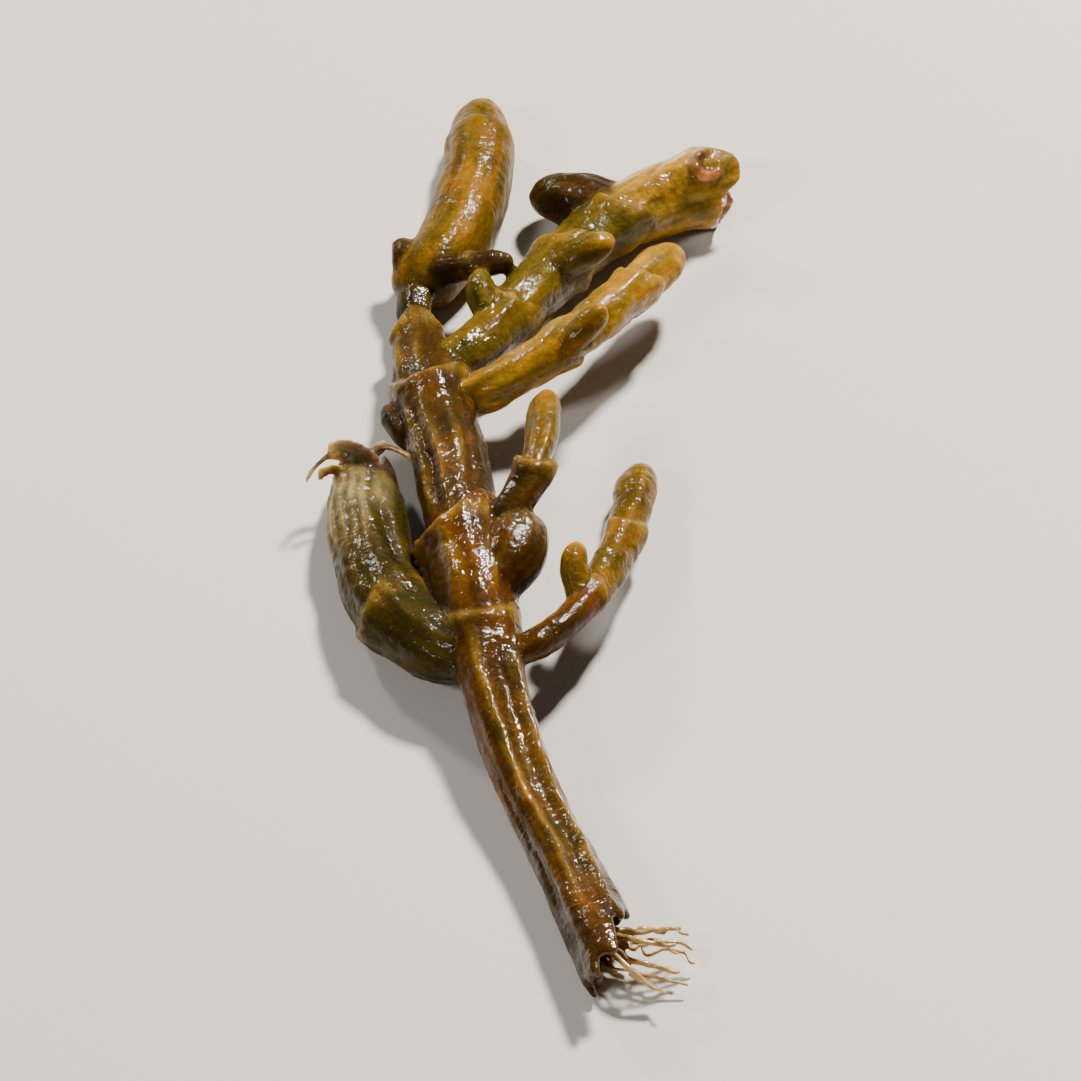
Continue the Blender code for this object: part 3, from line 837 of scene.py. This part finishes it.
def fuse(piece, cell):
    """Turns overlapping closed surfaces into one skin of even quads, and carries their values."""
    bpy.ops.object.select_all(action="DESELECT")
    bpy.context.view_layer.objects.active = piece
    piece.select_set(True)
    piece.data.remesh_voxel_size = cell * MM
    piece.data.remesh_voxel_adaptivity = 0
    piece.data.use_remesh_fix_poles = False
    piece.data.use_remesh_preserve_volume = False
    piece.data.use_remesh_preserve_attributes = True
    bpy.ops.object.voxel_remesh()


def read(items, key):
    """One vector of each of a mesh's items, as an array with a row for each item."""
    values = np.empty(len(items) * 3)
    items.foreach_get(key, values)
    return values.reshape(-1, 3)


def neighbours(mesh):
    """A function that gives, for an array of point values, the mean over each point's edges."""
    ends = np.empty(len(mesh.edges) * 2, dtype=np.int64)
    mesh.edges.foreach_get("vertices", ends)
    one, two = ends.reshape(-1, 2).T
    count = np.bincount(one, minlength=len(mesh.vertices))
    count = count + np.bincount(two, minlength=len(mesh.vertices))

    def mean(values):
        """The sum over the far ends of each point's edges, divided by their number."""
        total = np.zeros_like(values)
        for k in range(values.shape[1]):
            total[:, k] = np.bincount(one, values[two, k], len(values))
            total[:, k] += np.bincount(two, values[one, k], len(values))
        return total / count[:, None]

    return mean


def spread(mean, values, passes):
    """values replaced by their neighbours' mean, so many times over."""
    for _ in range(passes):
        values = mean(values)
    return values


def hollowness(mesh, mean, points):
    """How far each point lies below the mean of its surroundings along its normal, as a column."""
    normals = read(mesh.vertices, "normal")
    around = spread(mean, points, AROUND_PASSES)
    hollow = np.sum((around - points) * normals, axis=1) / MM
    return spread(mean, hollow[:, None], HOLLOW_PASSES)


def main_flesh():
    """The flesh: shreds and joints fused into one skin, smoothed, with painted shade in its hollows
    and painted light on its ridges.

    Each smoothing step moves a point by a share of the way to its neighbours' mean.
    """
    surfaces = []
    for number, shred in enumerate(SHREDS):
        surfaces.append(strip_surface(*shred, SHRED_SEED + number))
    seed = 1
    for shoot in SHOOTS:
        track = Track(shoot.route)
        for number in range(len(shoot.ends)):
            surfaces.append(joint_surface(shoot, track, number, seed))
            seed += 1
    piece = closed_grids("sprig_flesh", surfaces)
    fuse(piece, VOXEL)
    mesh = piece.data
    mean = neighbours(mesh)
    points = read(mesh.vertices, "co")
    for share in SMOOTHING:
        points = points + share * (mean(points) - points)
    points[:, 2] = np.maximum(points[:, 2], REST_HEIGHT * MM)
    mesh.vertices.foreach_set("co", points.ravel())
    mesh.update()
    colours = mesh.attributes["tint"].data
    tint = spread(mean, read(colours, "vector"), TINT_PASSES)
    # Painted shade darkens the tint in hollows and painted light lightens it on ridges.
    painted_shade_and_light = np.clip(hollowness(mesh, mean, points) * HOLLOW_GAIN, -1, 1)
    tint = tint * (1 - np.where(painted_shade_and_light > 0, PAINTED_HOLLOW_SHADE, PAINTED_RIDGE_LIGHT) * painted_shade_and_light)
    colours.foreach_set("vector", tint.ravel())
    mesh.shade_smooth()
    return piece


def core_fibres():
    """The core's plug and its fibres, each with a strand that parts from it point by point."""
    surfaces = [fibre_surface(CORE_ROUTE, CORE_RADII, CORE_SEED, 0.0)]
    for number, route in enumerate(FIBRE_ROUTES):
        surfaces.append(fibre_surface(route, FIBRE_RADII, FIBRE_SEED + number, FIBRE_WAVER))
        parted = [np.array(point) + STRAND_STEP * k for k, point in enumerate(route)]
        surfaces.append(fibre_surface(parted, STRAND_RADII, STRAND_SEED + number, STRAND_WAVER))
    piece = closed_grids("core_strands", surfaces)
    fuse(piece, FIBRE_VOXEL)
    piece.data.shade_smooth()
    return piece


# Materials.

FLESH_FINISH = {
    "Specular IOR Level": 0.04,
    "Subsurface Weight": 0.5,
    "Subsurface Radius": (1.0, 0.42, 0.12),
    "Subsurface Scale": 0.0008,
    "Coat Roughness": 0.055,
    "Coat IOR": 1.36,
}
FIBRE_FINISH = {
    "Roughness": 0.38,
    "Subsurface Weight": 0.3,
    "Subsurface Radius": (1.0, 0.6, 0.3),
    "Subsurface Scale": 0.0006,
    "Coat Weight": 0.6,
    "Coat Roughness": 0.15,
}
FLOOR_FINISH = {"Base Color": (0.66, 0.64, 0.62, 1.0), "Roughness": 0.55}
CLOUD_SHADE = (0.50, 0.56, 0.62, 1.0)
GLOW_SHADE = (1.45, 1.22, 0.8, 1.0)
GREEN_SHADE = (0.88, 0.97, 0.9, 1.0)


def new_material(name, finish):
    """A material with the values of finish set on its shader, and its nodes, links and shader."""
    material = bpy.data.materials.new(name)
    material.use_nodes = True
    nodes = material.node_tree.nodes
    shader = nodes["Principled BSDF"]
    for socket, value in finish.items():
        shader.inputs[socket].default_value = value
    return material, nodes, material.node_tree.links, shader


def attribute(nodes, name, output="Vector"):
    """One of the values that the mesh carries at its points."""
    node = nodes.new("ShaderNodeAttribute")
    node.attribute_name = name
    return node.outputs[output]


def pattern(nodes, links, source, scale, detail, roughness=0.5):
    """Smooth noise on straightened coordinates, with its own scale across and along the shoot."""
    mapping = nodes.new("ShaderNodeMapping")
    mapping.inputs["Scale"].default_value = scale
    noise = nodes.new("ShaderNodeTexNoise")
    noise.inputs["Scale"].default_value = 1.0
    noise.inputs["Detail"].default_value = detail
    noise.inputs["Roughness"].default_value = roughness
    links.new(source, mapping.inputs["Vector"])
    links.new(mapping.outputs["Vector"], noise.inputs["Vector"])
    return noise.outputs["Fac"]


def shifted(nodes, links, source):
    """Coordinates moved well away, so that a second noise on them differs from the first."""
    mapping = nodes.new("ShaderNodeMapping")
    mapping.inputs["Location"].default_value = (17.0, 31.0, 7.0)
    links.new(source, mapping.inputs["Vector"])
    return mapping.outputs["Vector"]


def between(nodes, links, value, low, high, from_low=0.3, from_high=0.7):
    """value, carried evenly from one range to another and held at its ends."""
    node = nodes.new("ShaderNodeMapRange")
    node.inputs["From Min"].default_value = from_low
    node.inputs["From Max"].default_value = from_high
    node.inputs["To Min"].default_value = low
    node.inputs["To Max"].default_value = high
    links.new(value, node.inputs["Value"])
    return node.outputs["Result"]


def tinted(nodes, links, kind, colour, other, share):
    """A mix of two colours; other and share are sockets or plain values."""
    node = nodes.new("ShaderNodeMix")
    node.data_type = "RGBA"
    node.blend_type = kind
    for socket, value in ((6, colour), (7, other), (0, share)):
        if isinstance(value, bpy.types.NodeSocket):
            links.new(value, node.inputs[socket])
        else:
            node.inputs[socket].default_value = value
    return node.outputs[2]


def bumped(nodes, links, height, distance, strength, below=None):
    """A normal tilted by the slope of height times distance, on top of another such normal."""
    node = nodes.new("ShaderNodeBump")
    node.inputs["Distance"].default_value = distance
    node.inputs["Strength"].default_value = strength
    links.new(height, node.inputs["Height"])
    if below is not None:
        links.new(below, node.inputs["Normal"])
    return node.outputs["Normal"]


def flesh_colour(nodes, links, where):
    """The joint's own colour, streaked, clouded, turned warm or green in patches, and speckled."""
    streaks = pattern(nodes, links, where, (1.6, 1.6, 0.16), 3.0)
    mottle = pattern(nodes, links, where, (0.55, 0.55, 0.45), 3.0, 0.6)
    specks = pattern(nodes, links, where, (5.0, 5.0, 3.0), 2.0)
    warmth = pattern(nodes, links, shifted(nodes, links, where), (0.50, 0.50, 0.28), 3.0, 0.6)
    grain = between(nodes, links, streaks, 0.62, 1.42)
    cloud = between(nodes, links, mottle, 0.0, 1.0, 0.42, 0.68)
    dots = between(nodes, links, specks, 0.82, 1.16)
    warm = between(nodes, links, warmth, 0.0, 1.0, 0.42, 0.62)
    colour = tinted(nodes, links, "MULTIPLY", attribute(nodes, "tint", "Color"), grain, 1.0)
    dark = tinted(nodes, links, "MULTIPLY", colour, CLOUD_SHADE, 1.0)
    colour = tinted(nodes, links, "MIX", colour, dark, cloud)
    glow = tinted(nodes, links, "MULTIPLY", colour, GLOW_SHADE, 1.0)
    green = tinted(nodes, links, "MULTIPLY", colour, GREEN_SHADE, 1.0)
    colour = tinted(nodes, links, "MIX", green, glow, warm)
    return tinted(nodes, links, "MULTIPLY", colour, dots, 1.0)


def flesh_grain(nodes, links, where):
    """Fine wrinkles across the shoot, pleats along it and the skin's cells, as one normal."""
    across = pattern(nodes, links, where, (0.7, 0.7, 2.4), 2.0)
    along = pattern(nodes, links, where, (2.6, 2.6, 0.3), 2.0)
    cells = pattern(nodes, links, where, (1.8, 1.8, 2.3), 3.0, 0.45)
    normal = bumped(nodes, links, across, 0.00012, 0.35)
    normal = bumped(nodes, links, along, 0.00010, 0.35, normal)
    return bumped(nodes, links, cells, 0.00018, 0.65, normal)


def flesh_material():
    """Cooked flesh: light goes a little way in, and oil lies on it in a thin smooth coat.

    The coat is patchy by smooth noise times the joint's share of oil, and the flesh is smoother
    where the same noise is high.
    """
    material, nodes, links, shader = new_material("oiled_flesh", FLESH_FINISH)
    where = attribute(nodes, "straight")
    links.new(flesh_colour(nodes, links, where), shader.inputs["Base Color"])
    normal = flesh_grain(nodes, links, where)
    links.new(normal, shader.inputs["Normal"])
    links.new(normal, shader.inputs["Coat Normal"])
    oil = pattern(nodes, links, where, (0.42, 0.42, 0.30), 3.0, 0.6)
    film = between(nodes, links, oil, 0.25, 1.0, 0.42, 0.58)
    film = tinted(nodes, links, "MULTIPLY", film, attribute(nodes, "oil"), 1.0)
    links.new(film, shader.inputs["Coat Weight"])
    links.new(between(nodes, links, oil, 0.50, 0.30, 0.42, 0.60), shader.inputs["Roughness"])
    return material


def core_material():
    """Pale fibres, straw at their tips and stained brown towards the stem."""
    material, nodes, links, shader = new_material("core_fibre", FIBRE_FINISH)
    place = nodes.new("ShaderNodeTexCoord").outputs["Object"]
    streaks = pattern(nodes, links, place, (1500, 1500, 1500), 3.0)
    share = between(nodes, links, streaks, 0.55, 1.35)
    colour = tinted(nodes, links, "MULTIPLY", attribute(nodes, "tint", "Color"), share, 1.0)
    links.new(colour, shader.inputs["Base Color"])
    return material


# Camera, light and floor, in metres.

PHOTO_ELEVATION = math.radians(43.7)
CAMERA_DISTANCE = 1.4
FRAME_HEIGHT = 0.0615
AIM = (0.00015, -0.0001, 0.002)
LAMPS = [
    ("key", (0.16, 0.30, 0.38), 0.06, 6.4, (1.0, 0.93, 0.82)),
    ("back", (-0.24, 0.36, 0.24), 0.05, 0.9, (1.0, 0.94, 0.86)),
    ("fill", (-0.55, -0.45, 0.60), 0.16, 4.2, (1.0, 0.95, 0.88)),
]
STUDIO_COLOUR, STUDIO_STRENGTH = (0.90, 0.86, 0.81, 1.0), 0.08
FLOOR_REACH = 1.5


def set_camera():
    """Looks along +Y and down, at the photograph's angle, from further off on a longer lens."""
    data = bpy.data.cameras.new("camera")
    camera = bpy.data.objects.new("camera", data)
    bpy.context.scene.collection.objects.link(camera)
    data.sensor_fit = "HORIZONTAL"
    data.lens_unit = "FOV"
    data.angle = 2 * math.atan(FRAME_HEIGHT / 2 / CAMERA_DISTANCE)
    data.clip_start = 0.01
    back = np.array([0.0, -math.cos(PHOTO_ELEVATION), math.sin(PHOTO_ELEVATION)])
    camera.location = np.array(AIM) + back * CAMERA_DISTANCE
    camera.rotation_euler = (math.pi / 2 - PHOTO_ELEVATION, 0, 0)
    bpy.context.scene.camera = camera


def area_light(name, place, size, power, colour):
    """A square lamp that faces the sprig."""
    data = bpy.data.lights.new(name, "AREA")
    data.size = size
    data.energy = power
    data.color = colour
    lamp = bpy.data.objects.new(name, data)
    bpy.context.scene.collection.objects.link(lamp)
    lamp.location = place
    aside = math.hypot(place[0], place[1])
    lamp.rotation_euler = (math.atan2(aside, place[2]), 0, math.atan2(place[0], -place[1]))


def set_light():
    """The lamps, and a faint even light from all sides."""
    for lamp in LAMPS:
        area_light(*lamp)
    world = bpy.data.worlds.new("studio")
    world.use_nodes = True
    background = world.node_tree.nodes["Background"]
    background.inputs["Color"].default_value = STUDIO_COLOUR
    background.inputs["Strength"].default_value = STUDIO_STRENGTH
    bpy.context.scene.world = world


def make_floor():
    """A plain pale square under the sprig."""
    mesh = bpy.data.meshes.new("floor")
    corners = [(-1, -1), (1, -1), (1, 1), (-1, 1)]
    mesh.from_pydata([(FLOOR_REACH * x, FLOOR_REACH * y, 0) for x, y in corners], [],
                     [(0, 1, 2, 3)])
    floor = bpy.data.objects.new("floor", mesh)
    bpy.context.scene.collection.objects.link(floor)
    mesh.materials.append(new_material("pale_floor", FLOOR_FINISH)[0])


flesh = main_flesh()
flesh.data.materials.append(flesh_material())
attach(flesh, "root")
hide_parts("sprig")

core = core_fibres()
core.data.materials.append(core_material())
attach(core, "root")
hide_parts("core_fibres")

make_floor()
set_light()
set_camera()
